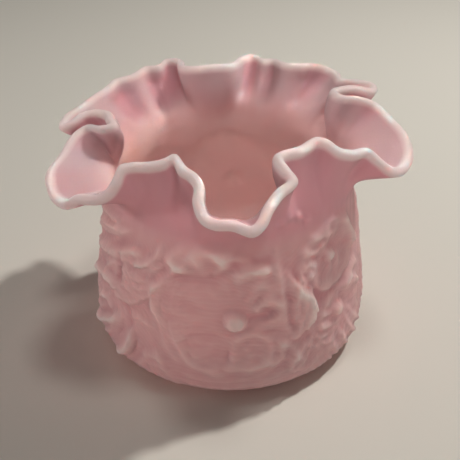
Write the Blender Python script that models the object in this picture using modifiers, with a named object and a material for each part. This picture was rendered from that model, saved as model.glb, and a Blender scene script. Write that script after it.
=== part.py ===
"""Pink satin glass vase with a hand-crimped rim and poppies in relief, as one piece of glass.

The body is a turned shell. Its flared top is a loft from the round neck to the crimped rim, and the
flowers and leaves stand out from the outside of the body. Sizes are in millimetres; the mesh is in metres.
Azimuth 0 is the front, toward -Y, and grows toward +X.
"""

import math

import bmesh
import bpy
import numpy as np

# Overall sizes, to the middle of the wall: the height of the highest fold, and the neck's radius.
HEIGHT = 125.5
NECK_RADIUS = 60.0

# The rim: how far its lobes reach past the neck, how far its folds come inside it, and how far the lowest
# lobe hangs below the highest fold.
LOBE_REACH = 32.0
FOLD_DEPTH = 7.0
LOBE_DROP = 24.0

# The body: how far the neck is below the highest fold, how far the belly swells past the neck, and how far
# the edge of the flat foot is inside the belly.
NECK_DROP = 35.5
BELLY_SWELL = 11.0
FOOT_INSET = 15.0

# Wall.
WALL = 4.2
RIM_WALL = 4.8
FLOOR = 5.0
FLOOR_CORNER = 9.0

# Sizes that follow from those above.
LOBE_HEIGHT = HEIGHT - LOBE_DROP
NECK_HEIGHT = HEIGHT - NECK_DROP
FOLD_RADIUS = NECK_RADIUS - FOLD_DEPTH
LOBE_RADIUS = NECK_RADIUS + LOBE_REACH
BELLY_RADIUS = NECK_RADIUS + BELLY_SWELL
FOOT_RADIUS = BELLY_RADIUS - FOOT_INSET

# Relief heights above the outer wall.
PETAL_LIFT = 2.4
LEAF_LIFT = 2.0
POD_LIFT = 2.6

# Mesh density.
COLUMNS = 112
BODY_ROWS = 17
INNER_ROWS = 5
FLARE_ROWS = 7
RIM_ROWS = 3
SPAN_STEPS = 16

# The rim, to the middle of its rounded edge: azimuth in degrees, then how far the point lies from the
# deepest fold's radius to the widest lobe's, and from the lowest lobe's height to the highest fold's, both
# in percent.
RIM = (
    ((-90, 15, 70), (-84, 10, 70), (-84, 25, 65)),
    ((-90, 43, 55), (-87, 58, 45), (-78, 74, 25), (-71, 91, 15), (-65, 95, 5), (-59, 95, 0)),
    ((-55, 89, 0), (-54, 78, 8), (-51, 72, 12), (-46, 66, 23), (-43, 58, 38), (-42, 50, 55)),
    ((-42, 40, 75), (-40, 31, 77), (-34, 21, 80), (-29, 11, 85), (-26, 4, 92), (-20, 14, 82)),
    ((-15, 18, 75), (-12, 25, 65), (-11, 42, 52), (-8, 60, 38), (-4, 71, 38), (1, 71, 37)),
    ((6, 79, 32), (9, 72, 38), (12, 57, 50), (17, 42, 62), (24, 30, 70), (23, 18, 80)),
    ((22, 4, 93), (25, 0, 95), (34, 3, 98), (42, 0, 100), (46, 0, 100), (48, 10, 98)),
    ((50, 23, 85), (56, 32, 73), (66, 41, 58), (66, 55, 44), (67, 70, 27), (70, 80, 20)),
    ((79, 88, 27), (89, 84, 40), (98, 73, 52), (107, 63, 65), (109, 42, 77), (109, 18, 85)),
    ((116, 18, 85), (120, 57, 77), (118, 87, 65), (121, 99, 65), (126, 87, 69), (128, 63, 77)),
    ((136, 82, 75), (146, 83, 77), (149, 58, 85), (154, 52, 85), (162, 76, 77), (166, 66, 80)),
    ((170, 81, 80), (174, 73, 82), (180, 23, 90), (190, 20, 90), (197, 22, 88), (203, 37, 85)),
    ((201, 81, 77), (205, 94, 72), (210, 78, 70), (214, 86, 68), (223, 75, 65), (229, 82, 62)),
    ((235, 74, 60), (244, 76, 52), (251, 78, 48), (257, 86, 42), (263, 84, 36), (263, 70, 46)),
    ((260, 58, 58), (259, 42, 64), (263, 22, 68)),
)

# The body's side: height as a share of the neck height, and how far the radius goes from neck to belly.
SIDE = (
    (1.0, 0.0),
    (0.86, 0.15),
    (0.69, 0.4),
    (0.49, 0.67),
    (0.31, 0.9),
    (0.18, 1.0),
    (0.09, 0.86),
    (0.04, 0.5),
)

# Poppies: azimuth, height, reach of the petals, number of petals, turn in degrees.
POPPIES = (
    (2, 50, 31, 5, 18),
    (48, 71, 17, 5, 40),
    (50, 35, 19, 6, 0),
    (100, 52, 28, 5, 60),
    (178, 50, 31, 5, 18),
    (-132, 54, 27, 5, 60),
)

# Leaves: azimuth and height of the stem end, length, half width, and the way the tip points in degrees
# from straight up, toward the right as seen from outside.
LEAVES = (
    (34, 36, 38, 7, -20),
    (-32, 16, 44, 9, -75),
    (-42, 30, 34, 9, -62),
    (-58, 48, 36, 10, 55),
    (-80, 66, 44, 8, 62),
    (-84, 16, 40, 10, 40),
    (72, 18, 40, 9, 28),
    (134, 28, 46, 10, 15),
    (146, 70, 34, 8, 70),
    (-160, 30, 44, 10, -18),
    (-104, 26, 48, 10, -12),
)


def polar(azimuth, radius, height):
    turn = math.radians(azimuth)
    return np.array((radius * math.sin(turn), -radius * math.cos(turn), height))


def smooth_curve(points, steps, closed):
    """Points along a centripetal Catmull-Rom curve through the given ones."""
    points = np.asarray(points, float)
    if closed:
        padded = np.vstack((points[-1], points, points[:2]))
    else:
        padded = np.vstack((2 * points[0] - points[1], points, 2 * points[-1] - points[-2]))
    curve = []
    for first in range(len(padded) - 3):
        a, b, c, d = padded[first : first + 4]
        tb = math.sqrt(np.linalg.norm(b - a))
        tc = tb + math.sqrt(np.linalg.norm(c - b))
        td = tc + math.sqrt(np.linalg.norm(d - c))
        for t in np.linspace(tb, tc, steps, endpoint=False):
            ab = a + (b - a) * t / tb
            bc = b + (c - b) * (t - tb) / (tc - tb)
            cd = c + (d - c) * (t - tc) / (td - tc)
            abc = ab + (bc - ab) * t / tc
            bcd = bc + (cd - bc) * (t - tb) / (td - tb)
            curve.append(abc + (bcd - abc) * (t - tb) / (tc - tb))
    if not closed:
        curve.append(points[-1])
    return np.array(curve)


def along(curve):
    """Distance along a curve at each of its points."""
    return np.concatenate(([0.0], np.cumsum(np.linalg.norm(np.diff(curve, axis=0), axis=1))))


def rim_curve():
    """One rim point for each column. Columns leave the neck evenly and reach the rim by its length."""
    stations = []
    for line in RIM:
        for azimuth, reach, rise in line:
            radius = FOLD_RADIUS + (LOBE_RADIUS - FOLD_RADIUS) * reach / 100
            height = LOBE_HEIGHT + LOBE_DROP * rise / 100
            stations.append(polar(azimuth, radius, height))
    curve = smooth_curve(stations, SPAN_STEPS, True)
    curve = np.vstack((curve, curve[:1]))
    length = along(curve)
    even = 360 * length / length[-1]
    azimuth = np.degrees(np.unwrap(np.arctan2(curve[:, 0], -curve[:, 1])))
    # The rim drifts ahead of and behind its feet. The feet follow that drift, averaged over 60 degrees.
    drift = azimuth - even
    places = np.linspace(0, 360, 361)
    tripled = np.concatenate((even - 360, even[1:], even[1:] + 360))
    drifts = np.concatenate((drift, drift[1:], drift[1:]))
    calm = [np.interp(place + np.linspace(-30, 30, 61), tripled, drifts).mean() for place in places]
    feet = places + np.array(calm)
    wanted = np.arange(COLUMNS) * 360 / COLUMNS
    turned = (wanted - feet[0]) % 360 + feet[0]
    place = np.interp(turned, feet, places)
    return np.stack([np.interp(place, even, curve[:, axis]) for axis in range(3)], axis=1)


def flare_rows(rim):
    """Rows of the flare's middle surface from neck to rim, upright at the neck, rolled out at the lobes."""
    feet = np.array([polar(column * 360 / COLUMNS, NECK_RADIUS, NECK_HEIGHT) for column in range(COLUMNS)])
    up = np.array((0.0, 0.0, 1.0))
    outward = rim * (1, 1, 0)
    outward /= np.linalg.norm(outward, axis=1, keepdims=True)
    reach = np.linalg.norm(rim - feet, axis=1, keepdims=True)
    rise = np.clip((rim[:, 2:] - LOBE_HEIGHT) / LOBE_DROP, 0, 1)
    angle = np.radians(5 + 70 * rise)
    arrival = np.cos(angle) * outward + np.sin(angle) * up
    first = feet + 0.38 * reach * up
    second = rim - 0.42 * reach * arrival
    rows = []
    for t in np.linspace(0, 1, FLARE_ROWS + 1):
        near = (1 - t) ** 3 * feet + 3 * (1 - t) ** 2 * t * first
        rows.append(near + 3 * (1 - t) * t**2 * second + t**3 * rim)
    return np.array(rows)


def surface_normals(rows):
    """Unit normals of a ring-by-ring surface, pointing out of the vase. The first row's are level."""
    down = np.gradient(rows, axis=0)
    round_ = np.roll(rows, -1, axis=1) - np.roll(rows, 1, axis=1)
    normals = np.cross(round_, down)
    normals[0, :, 2] = 0
    return normals / np.linalg.norm(normals, axis=2, keepdims=True)


def side_curve(offset):
    """The body's side from the neck down, this far outside the middle of the wall, as radius and height."""
    points = [(NECK_RADIUS + BELLY_SWELL * out, NECK_HEIGHT * share, 0.0) for share, out in SIDE]
    curve = smooth_curve(points, SPAN_STEPS, False)[:, :2]
    slope = np.gradient(curve, axis=0)
    normal = np.stack((-slope[:, 1], slope[:, 0]), axis=1)
    normal /= np.linalg.norm(normal, axis=1, keepdims=True)
    normal[0] = (1.0, 0.0)
    return curve + offset * normal


def respaced(curve, steps):
    length = along(curve)
    wanted = np.linspace(0, length[-1], steps + 1)
    return np.stack([np.interp(wanted, length, curve[:, axis]) for axis in range(2)], axis=1)


def outer_profile():
    side = side_curve(WALL / 2)
    side = np.vstack((side[side[:, 1] > 3.0], (FOOT_RADIUS + 4.0, 0.8), (FOOT_RADIUS, 0.0)))
    rows = respaced(side, BODY_ROWS)
    return np.vstack((rows, (FOOT_RADIUS * 0.55, 0.0), (0.0, 0.0)))


def inner_profile():
    side = side_curve(-WALL / 2)
    corner_radius = side[side[:, 1] > FLOOR + FLOOR_CORNER][-1, 0]
    centre = (corner_radius - FLOOR_CORNER, FLOOR + FLOOR_CORNER)
    bend = [
        (centre[0] + FLOOR_CORNER * math.cos(turn), centre[1] - FLOOR_CORNER * math.sin(turn))
        for turn in np.radians((30, 60, 90))
    ]
    rows = respaced(side[side[:, 1] > FLOOR + FLOOR_CORNER], INNER_ROWS)
    return np.vstack((rows, bend, (centre[0] * 0.5, FLOOR), (0.0, FLOOR)))


def ease(value, low, high):
    """0 below low, 1 above high, smooth between."""
    share = min(max((value - low) / (high - low), 0.0), 1.0)
    return share * share * (3 - 2 * share)


def poppy_lift(across, up, reach, petals, turn):
    """Height of one open poppy: a domed pod in a dished ring of overlapping petals."""
    far = math.hypot(across, up)
    spin = math.atan2(across, up) - math.radians(turn)
    outline = reach * (0.88 + 0.12 * abs(math.cos(petals * spin / 2)))
    pod = reach * 0.19
    dish = 0.35 + 0.65 * ease(far, pod, 0.8 * outline)
    petal = PETAL_LIFT * dish * (1 - ease(far, outline - 3.0, outline + 1.5))
    dome = POD_LIFT * math.sqrt(max(0.0, 1 - (far / pod) ** 2))
    return max(petal, dome)


def leaf_lift(along_leaf, across, length, half_width):
    """Height of one pointed leaf with a sunken midrib."""
    share = along_leaf / length
    if not 0 < share < 1:
        return 0.0
    width = half_width * math.sin(math.pi * share**0.8) ** 0.8
    edge = 1 - ease(abs(across), width - 1.5, width + 1.0)
    return LEAF_LIFT * edge * ease(share, 0, 0.12) * (1 - 0.25 * math.exp(-((across / 1.2) ** 2)))


def relief(azimuth, height):
    """How far the outside of the body stands out here."""
    radius = NECK_RADIUS + BELLY_SWELL * (1 - height / NECK_HEIGHT)
    lifts = [0.0]
    for place, middle, reach, petals, turn in POPPIES:
        across = math.radians((azimuth - place + 180) % 360 - 180) * radius
        if math.hypot(across, height - middle) < reach + 3:
            lifts.append(poppy_lift(across, height - middle, reach, petals, turn))
    for place, stem, length, half_width, lean in LEAVES:
        across = math.radians((azimuth - place + 180) % 360 - 180) * radius
        turn = math.radians(lean)
        ahead = across * math.sin(turn) + (height - stem) * math.cos(turn)
        aside = across * math.cos(turn) - (height - stem) * math.sin(turn)
        lifts.append(leaf_lift(ahead, aside, length, half_width))
    fade = ease(height, 1.0, 9.0) * (1 - ease(height, NECK_HEIGHT - 8, NECK_HEIGHT - 1))
    return max(lifts) * fade


def turned_shell():
    """The body's outside and inside, each spun from its profile, open at the neck."""
    outer = outer_profile()
    inner = inner_profile()[::-1]
    mesh = bpy.data.meshes.new("vase_profile")
    points = [(radius / 1000, 0, height / 1000) for radius, height in np.vstack((outer, inner))]
    edges = [(i, i + 1) for i in range(len(points) - 1) if i != len(outer) - 1]
    mesh.from_pydata(points, edges, [])
    profile = bpy.data.objects.new("vase_profile", mesh)
    bpy.context.scene.collection.objects.link(profile)
    screw = profile.modifiers.new("Turn", "SCREW")
    screw.axis = "Z"
    screw.angle = math.tau
    screw.steps = COLUMNS
    screw.render_steps = COLUMNS
    screw.use_merge_vertices = True
    screw.merge_threshold = 0.00001
    graph = bpy.context.evaluated_depsgraph_get()
    shell = bmesh.new()
    shell.from_mesh(profile.evaluated_get(graph).to_mesh())
    bpy.data.objects.remove(profile)
    return shell


def lift_relief(shell):
    """Pushes the outside of the body out by the relief, leaving the inside smooth."""
    middle = side_curve(0)[::-1]
    for vertex in shell.verts:
        radius = math.hypot(vertex.co.x, vertex.co.y)
        height = vertex.co.z * 1000
        if height < 0.5 or radius * 1000 < np.interp(height, middle[:, 1], middle[:, 0]):
            continue
        azimuth = math.degrees(math.atan2(vertex.co.x, -vertex.co.y))
        scale = 1 + relief(azimuth, height) / 1000 / radius
        vertex.co.x *= scale
        vertex.co.y *= scale


def add_flare(shell):
    """Adds the flare: both faces of the wall with a rounded edge between them."""
    rows = flare_rows(rim_curve())
    normals = surface_normals(rows)
    ahead = rows[-1] - rows[-2]
    ahead /= np.linalg.norm(ahead, axis=1, keepdims=True)
    share = np.linspace(0, 1, FLARE_ROWS + 1).reshape(-1, 1, 1)
    half = (WALL + (RIM_WALL - WALL) * share**2) / 2
    rings = list(rows + half * normals)
    for turn in np.linspace(0, math.pi, RIM_ROWS + 1)[1:-1]:
        rings.append(rows[-1] + RIM_WALL / 2 * (math.cos(turn) * normals[-1] + math.sin(turn) * ahead))
    rings += list((rows - half * normals)[::-1])
    loops = [[shell.verts.new(point / 1000) for point in ring] for ring in rings]
    for lower, upper in zip(loops, loops[1:]):
        for i in range(COLUMNS):
            j = (i + 1) % COLUMNS
            shell.faces.new((lower[i], lower[j], upper[j], upper[i]))


def satin_glass():
    material = bpy.data.materials.new("satin_glass")
    material.use_nodes = True
    shader = material.node_tree.nodes["Principled BSDF"]
    shader.inputs["Base Color"].default_value = (0.78, 0.42, 0.44, 1)
    shader.inputs["Roughness"].default_value = 0.6
    shader.inputs["IOR"].default_value = 1.5
    return material


def build_vase(collection):
    shell = turned_shell()
    lift_relief(shell)
    add_flare(shell)
    bmesh.ops.remove_doubles(shell, verts=shell.verts, dist=0.00002)
    bmesh.ops.recalc_face_normals(shell, faces=shell.faces)
    bmesh.ops.triangulate(shell, faces=shell.faces)
    mesh = bpy.data.meshes.new("glass_vase")
    shell.to_mesh(mesh)
    shell.free()
    mesh.materials.append(satin_glass())
    vase = bpy.data.objects.new("glass_vase", mesh)
    collection.objects.link(vase)
    return vase


for old in list(bpy.data.objects):
    bpy.data.objects.remove(old)
parts = bpy.data.collections.new("satin_poppy_vase")
bpy.context.scene.collection.children.link(parts)
build_vase(parts)
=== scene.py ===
# %% [markdown]
# # A hand-crimped satin glass vase with poppies in relief
#
# The real vase is one piece of pink glass. It was blown into a mould that gave it its flowers and leaves,
# its mouth was heated again and pinched into lobes and folds, and acid took the shine off it. This lesson
# follows the same order: a plain tube of glass, the mould, the crimping, and the satin finish.
#
# The imported CAD model comes in first as the frame. Every position below comes from it or from the same
# driving sizes.

# %% Load the frame
import math

import bpy
import numpy as np
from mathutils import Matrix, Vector


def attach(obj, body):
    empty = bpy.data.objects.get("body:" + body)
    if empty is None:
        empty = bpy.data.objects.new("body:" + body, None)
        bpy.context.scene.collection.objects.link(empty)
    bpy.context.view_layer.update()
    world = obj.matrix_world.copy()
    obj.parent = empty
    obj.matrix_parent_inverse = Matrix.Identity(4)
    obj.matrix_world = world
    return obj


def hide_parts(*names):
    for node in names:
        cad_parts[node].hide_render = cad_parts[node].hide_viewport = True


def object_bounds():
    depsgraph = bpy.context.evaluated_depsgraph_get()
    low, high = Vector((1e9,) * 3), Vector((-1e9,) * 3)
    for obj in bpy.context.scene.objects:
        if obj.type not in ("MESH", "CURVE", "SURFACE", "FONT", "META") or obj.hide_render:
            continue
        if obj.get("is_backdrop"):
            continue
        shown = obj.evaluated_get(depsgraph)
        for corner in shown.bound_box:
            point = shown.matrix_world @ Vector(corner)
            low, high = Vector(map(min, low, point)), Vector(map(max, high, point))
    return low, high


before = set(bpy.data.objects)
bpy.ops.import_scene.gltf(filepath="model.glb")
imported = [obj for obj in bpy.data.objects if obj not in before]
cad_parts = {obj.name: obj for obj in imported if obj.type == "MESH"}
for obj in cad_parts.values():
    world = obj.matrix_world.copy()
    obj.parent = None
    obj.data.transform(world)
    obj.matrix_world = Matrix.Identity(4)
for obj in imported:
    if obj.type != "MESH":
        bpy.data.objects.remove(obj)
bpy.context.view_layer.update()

# %% [markdown]
# ## The camera
#
# The vase is seen from in front and well above the rim, close enough for its mouth to look wide and its foot
# narrow. A camera aimed at a point inside the body, on the axis, gives that view. Its place follows from the
# elevation and the distance, so one number at a time can be changed while comparing.

# %% Camera
CAMERA_TARGET = Vector((0.0, 0.0, 0.054))
CAMERA_DISTANCE = 0.365
CAMERA_ELEVATION = math.radians(34)
CAMERA_FIELD = math.radians(38)

toward_camera = Vector((0, -math.cos(CAMERA_ELEVATION), math.sin(CAMERA_ELEVATION)))
camera_data = bpy.data.cameras.new("camera")
camera_data.sensor_width = 36
camera_data.lens = 18 / math.tan(CAMERA_FIELD / 2)
camera = bpy.data.objects.new("camera", camera_data)
bpy.context.scene.collection.objects.link(camera)
camera.location = CAMERA_TARGET + CAMERA_DISTANCE * toward_camera
camera.rotation_euler = toward_camera.to_track_quat("Z", "Y").to_euler()
bpy.context.scene.camera = camera
print("camera at", [round(1000 * value) for value in camera.location], "mm")
print("lens", round(camera_data.lens, 1))

# %% [markdown]
# ## The driving sizes
#
# These are the sizes the CAD model was drawn with, in millimetres to the middle of the wall. Only the corner
# where the floor meets the inside is rounder here, as it is in blown glass. The rim is a closed curve through
# listed stations: each has an azimuth, a share of the way from the deepest fold to the widest lobe, and
# a share of the rise from the lowest lobe to the highest fold, both in percent. Azimuth 0 is the front and
# grows toward the right-hand side. The curve runs ahead of itself where a lobe curls over a fold, so it can't
# be a simple wave of the azimuth.

# %% Sizes of the vase
HEIGHT = 125.5
NECK_RADIUS = 60.0
NECK_HEIGHT = 90.0
LOBE_HEIGHT = 101.5
LOBE_DROP = HEIGHT - LOBE_HEIGHT
FOLD_RADIUS = 53.0
LOBE_RADIUS = 92.0
BELLY_SWELL = 11.0
FOOT_RADIUS = 56.0
WALL = 4.2
RIM_WALL = 4.8
FLOOR = 5.0
FLOOR_CORNER = 24.0

# Rim stations: azimuth, reach and rise.
RIM = (
    ((-90, 15, 70), (-84, 10, 70), (-84, 25, 65)),
    ((-90, 43, 55), (-87, 58, 45), (-78, 74, 25), (-71, 91, 15), (-65, 95, 5), (-59, 95, 0)),
    ((-55, 89, 0), (-54, 78, 8), (-51, 72, 12), (-46, 66, 23), (-43, 58, 38), (-42, 50, 55)),
    ((-42, 40, 75), (-40, 31, 77), (-34, 21, 80), (-29, 11, 85), (-26, 4, 92), (-20, 14, 82)),
    ((-15, 18, 75), (-12, 25, 65), (-11, 42, 52), (-8, 60, 38), (-4, 71, 38), (1, 71, 37)),
    ((6, 79, 32), (9, 72, 38), (12, 57, 50), (17, 42, 62), (24, 30, 70), (23, 18, 80)),
    ((22, 4, 93), (25, 0, 95), (34, 3, 98), (42, 0, 100), (46, 0, 100), (48, 10, 98)),
    ((50, 23, 85), (56, 32, 73), (66, 41, 58), (66, 55, 44), (67, 70, 27), (70, 80, 20)),
    ((79, 88, 27), (89, 84, 40), (98, 73, 52), (107, 63, 65), (109, 42, 77), (109, 18, 85)),
    ((116, 18, 85), (120, 57, 77), (118, 87, 65), (121, 99, 65), (126, 87, 69), (128, 63, 77)),
    ((136, 82, 75), (146, 83, 77), (149, 58, 85), (154, 52, 85), (162, 76, 77), (166, 66, 80)),
    ((170, 81, 80), (174, 73, 82), (180, 23, 90), (190, 20, 90), (197, 22, 88), (203, 37, 85)),
    ((201, 81, 77), (205, 94, 72), (210, 78, 70), (214, 86, 68), (223, 75, 65), (229, 82, 62)),
    ((235, 74, 60), (244, 76, 52), (251, 78, 48), (257, 86, 42), (263, 84, 36), (263, 70, 46)),
    ((260, 58, 58), (259, 42, 64), (263, 22, 68)),
)

# The body's side: share of the way up to the neck, and share of the belly's swell.
SIDE = (
    *((1.0, 0.0), (0.86, 0.15), (0.69, 0.4), (0.49, 0.67)),
    *((0.31, 0.9), (0.18, 1.0), (0.09, 0.86), (0.04, 0.5)),
)
print("rim stations:", sum(len(line) for line in RIM))

# %% [markdown]
# ## A tube of glass
#
# A glassblower starts from a thick-walled bubble. Here it is a round tube with a closed bottom, made as by
# hand: a filled circle is extruded up for the outside, inward across the rim, down for the inside, and closed
# at the floor. Its two rim edges are bevelled while it is still round, because a bevel on the crimped rim
# would catch in the tight folds. Each band is then divided into rows fine enough to carry the relief.

# %% Sizes of the tube
COLUMNS = 432
BODY_CUTS = 100
COLLAR_CUTS = 33
INNER_COLLAR_CUTS = 29
INNER_BODY_CUTS = 41
RIM_SEGMENTS = 4
RIM_ROUND = WALL / 2 * 0.98
FLOOR_RINGS = 4
COLLAR = 50.0

TUBE_OUTSIDE = NECK_RADIUS + WALL / 2
TUBE_INSIDE = NECK_RADIUS - WALL / 2
TUBE_TOP = NECK_HEIGHT + COLLAR + WALL / 2
MM = 0.001
SAME = 0.01
print("tube:", TUBE_OUTSIDE, "mm in radius,", TUBE_TOP, "mm high")


# %% Tube helpers
def deselect_everything():
    if bpy.context.mode != "OBJECT":
        bpy.ops.object.mode_set(mode="OBJECT")
    bpy.ops.object.select_all(action="DESELECT")


def select_edges(test):
    """In edit mode, selects only the edges whose two ends pass the test, given as (radius, height) in mm."""
    bpy.ops.mesh.select_mode(type="EDGE")
    bpy.ops.mesh.select_all(action="DESELECT")
    bpy.ops.object.mode_set(mode="OBJECT")
    mesh = bpy.context.object.data
    ends = [(math.hypot(v.co.x, v.co.y) / MM, v.co.z / MM) for v in mesh.vertices]
    for edge in mesh.edges:
        edge.select = test(ends[edge.vertices[0]], ends[edge.vertices[1]])
    bpy.ops.object.mode_set(mode="EDIT")


def near(value, wanted):
    return abs(value - wanted) < SAME


def ring_at(radius, height):
    """A test for the edges of the ring at this radius and height."""

    def on_ring(a, b):
        return all(near(end[0], radius) and near(end[1], height) for end in (a, b))

    return on_ring


def band_between(radius, low, high):
    """A test for the upright edges at this radius from low to high."""

    def in_band(a, b):
        foot, top = sorted((a[1], b[1]))
        return near(a[0], radius) and near(b[0], radius) and near(foot, low) and near(top, high)

    return in_band


def extrude_to(height_change=0.0, scale=1.0):
    """Extrudes the selected ring up or down, then widens or narrows it."""
    move = {"value": (0, 0, height_change * MM)}
    bpy.ops.mesh.extrude_region_move(TRANSFORM_OT_translate=move)
    if scale != 1.0:
        bpy.ops.transform.resize(value=(scale, scale, 1), center_override=(0, 0, 0))


# %% Make the tube
deselect_everything()
bpy.ops.mesh.primitive_circle_add(vertices=COLUMNS, radius=TUBE_OUTSIDE * MM, fill_type="TRIFAN")
vase = bpy.context.object
vase.name = "satin_vase"
vase.data.name = "satin_vase"
bpy.ops.object.mode_set(mode="EDIT")
select_edges(ring_at(TUBE_OUTSIDE, 0))
extrude_to(NECK_HEIGHT)
extrude_to(TUBE_TOP - NECK_HEIGHT)
extrude_to(0, TUBE_INSIDE / TUBE_OUTSIDE)
extrude_to(NECK_HEIGHT - TUBE_TOP)
extrude_to(FLOOR - NECK_HEIGHT)
for _ in range(FLOOR_RINGS):
    extrude_to(0, 0.5)
bpy.ops.mesh.extrude_region_move()
bpy.ops.mesh.merge(type="CENTER")
print("tube:", len(vase.data.vertices), "points before the rim is rounded")

# %% Round the rim and divide the tube into rows
select_edges(
    lambda a, b: ring_at(TUBE_OUTSIDE, TUBE_TOP)(a, b) or ring_at(TUBE_INSIDE, TUBE_TOP)(a, b)
)
bpy.ops.mesh.bevel(offset=RIM_ROUND * MM, segments=RIM_SEGMENTS, affect="EDGES")
bevelled = TUBE_TOP - RIM_ROUND
for radius, low, high, cuts in (
    (TUBE_OUTSIDE, 0, NECK_HEIGHT, BODY_CUTS),
    (TUBE_OUTSIDE, NECK_HEIGHT, bevelled, COLLAR_CUTS),
    (TUBE_INSIDE, NECK_HEIGHT, bevelled, INNER_COLLAR_CUTS),
    (TUBE_INSIDE, FLOOR, NECK_HEIGHT, INNER_BODY_CUTS),
):
    select_edges(band_between(radius, low, high))
    bpy.ops.mesh.subdivide(number_cuts=cuts)
bpy.ops.object.mode_set(mode="OBJECT")
print("tube:", len(vase.data.vertices), "points,", len(vase.data.polygons), "faces")

# %% [markdown]
# ## Curves for the side and the rim
#
# Both curves go through a few chosen points. A centripetal Catmull-Rom curve is used because it passes
# through every point without overshooting where two stations are close, as they are in the tight folds. The
# body's side stops a little above the ground and turns in to the flat foot. Inside, it meets the flat floor
# in a wide round corner.

# %% Smooth curves
SPAN_STEPS = 24


def ease(value, low, high):
    """0 below low, 1 above high, smooth between."""
    share = np.clip((value - low) / (high - low), 0.0, 1.0)
    return share * share * (3 - 2 * share)


def smooth_curve(points, closed):
    """Points along a centripetal Catmull-Rom curve through the given ones."""
    points = np.asarray(points, float)
    if closed:
        padded = np.vstack((points[-1], points, points[:2]))
    else:
        padded = np.vstack((2 * points[0] - points[1], points, 2 * points[-1] - points[-2]))
    curve = []
    for first in range(len(padded) - 3):
        a, b, c, d = padded[first : first + 4]
        tb = math.sqrt(np.linalg.norm(b - a))
        tc = tb + math.sqrt(np.linalg.norm(c - b))
        td = tc + math.sqrt(np.linalg.norm(d - c))
        for t in np.linspace(tb, tc, SPAN_STEPS, endpoint=False):
            ab = a + (b - a) * t / tb
            bc = b + (c - b) * (t - tb) / (tc - tb)
            cd = c + (d - c) * (t - tc) / (td - tc)
            abc = ab + (bc - ab) * t / tc
            bcd = bc + (cd - bc) * (t - tb) / (td - tb)
            curve.append(abc + (bcd - abc) * (t - tb) / (tc - tb))
    if not closed:
        curve.append(points[-1])
    return np.array(curve)


def along(curve):
    """Distance along a curve at each of its points."""
    return np.concatenate(([0.0], np.cumsum(np.linalg.norm(np.diff(curve, axis=0), axis=1))))


def at_share(curve, share):
    """The points at these shares of a curve's length."""
    length = along(curve)
    wanted = np.asarray(share) * length[-1]
    return np.stack([np.interp(wanted, length, curve[:, axis]) for axis in range(curve.shape[1])], axis=-1)


# %% The body's side
FOOT_TURN = 3.0
FOOT_EDGE = ((FOOT_RADIUS + 4.0, 0.8), (FOOT_RADIUS, 0.0))
CORNER_START = 10
CORNER_STEPS = 12


def side_curve(offset):
    """The body's side from the neck down, this far outside the middle of the wall, as radius and height."""
    points = [(NECK_RADIUS + BELLY_SWELL * out, NECK_HEIGHT * share, 0.0) for share, out in SIDE]
    curve = smooth_curve(points, False)[:, :2]
    slope = np.gradient(curve, axis=0)
    normal = np.stack((-slope[:, 1], slope[:, 0]), axis=1)
    normal /= np.linalg.norm(normal, axis=1, keepdims=True)
    normal[0] = (1.0, 0.0)
    return curve + offset * normal


def outside_curve():
    """From the edge of the flat foot up to the neck."""
    side = side_curve(WALL / 2)
    return np.vstack((side[side[:, 1] > FOOT_TURN], FOOT_EDGE))[::-1]


def inside_curve():
    """From the edge of the flat floor, round its corner, up to the neck."""
    side = side_curve(-WALL / 2)
    side = side[side[:, 1] > FLOOR + FLOOR_CORNER]
    centre = np.array((side[-1, 0] - FLOOR_CORNER, FLOOR + FLOOR_CORNER))
    turns = np.radians(np.linspace(CORNER_START, 90, CORNER_STEPS))
    corner = centre + FLOOR_CORNER * np.stack((np.cos(turns), -np.sin(turns)), axis=1)
    return np.vstack((side, corner))[::-1]


print("belly radius", round(outside_curve()[:, 0].max(), 1), "mm")

# %% [markdown]
# ## The crimped collar
#
# The collar above the neck was pulled out and pinched by hand. Each column of the tube leaves the neck
# upright and follows a Bezier curve to its own point of the rim. It arrives nearly level where a lobe hangs
# low and nearly upright where a fold is pinched high, as soft glass does. The wall's two faces and its round
# edge are carried along at their own distance from this middle surface. Between the big folds at the back the
# tool left a few shallow pleats. They are pressed into the surface afterwards.

# %% The rim's line
DRIFT_WINDOW = 30


def polar(azimuth, radius, height):
    """Points at an azimuth in degrees, a radius and a height. Azimuth 0 is the front."""
    turn = np.radians(azimuth)
    return np.stack((radius * np.sin(turn), -radius * np.cos(turn), height + 0 * turn), axis=-1)


def rim_points():
    """One rim point for each column. Columns leave the neck evenly and reach the rim by its length."""
    stations = []
    for line in RIM:
        for azimuth, reach, rise in line:
            radius = FOLD_RADIUS + (LOBE_RADIUS - FOLD_RADIUS) * reach / 100
            stations.append(polar(azimuth, radius, LOBE_HEIGHT + LOBE_DROP * rise / 100))
    curve = smooth_curve(stations, True)
    curve = np.vstack((curve, curve[:1]))
    length = along(curve)
    even = 360 * length / length[-1]
    drift = np.degrees(np.unwrap(np.arctan2(curve[:, 0], -curve[:, 1]))) - even
    # The rim drifts ahead of and behind its feet. The feet follow that drift, averaged over a wide window.
    window = np.linspace(-DRIFT_WINDOW, DRIFT_WINDOW, 2 * DRIFT_WINDOW + 1)
    places = np.linspace(0, 360, 361)
    tripled = np.concatenate((even - 360, even[1:], even[1:] + 360))
    drifts = np.concatenate((drift, drift[1:], drift[1:]))
    calm = [np.interp(place + window, tripled, drifts).mean() for place in places]
    feet = places + np.array(calm)
    wanted = np.arange(COLUMNS) * 360 / COLUMNS
    place = np.interp((wanted - feet[0]) % 360 + feet[0], feet, places)
    return np.stack([np.interp(place, even, curve[:, axis]) for axis in range(3)], axis=1)


rim_line = rim_points()
print("rim line:", round(along(rim_line)[-1]), "mm long, from", round(rim_line[:, 2].min(), 1), "mm up")


# %% The collar's surface
COLLAR_STEPS = 60
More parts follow.
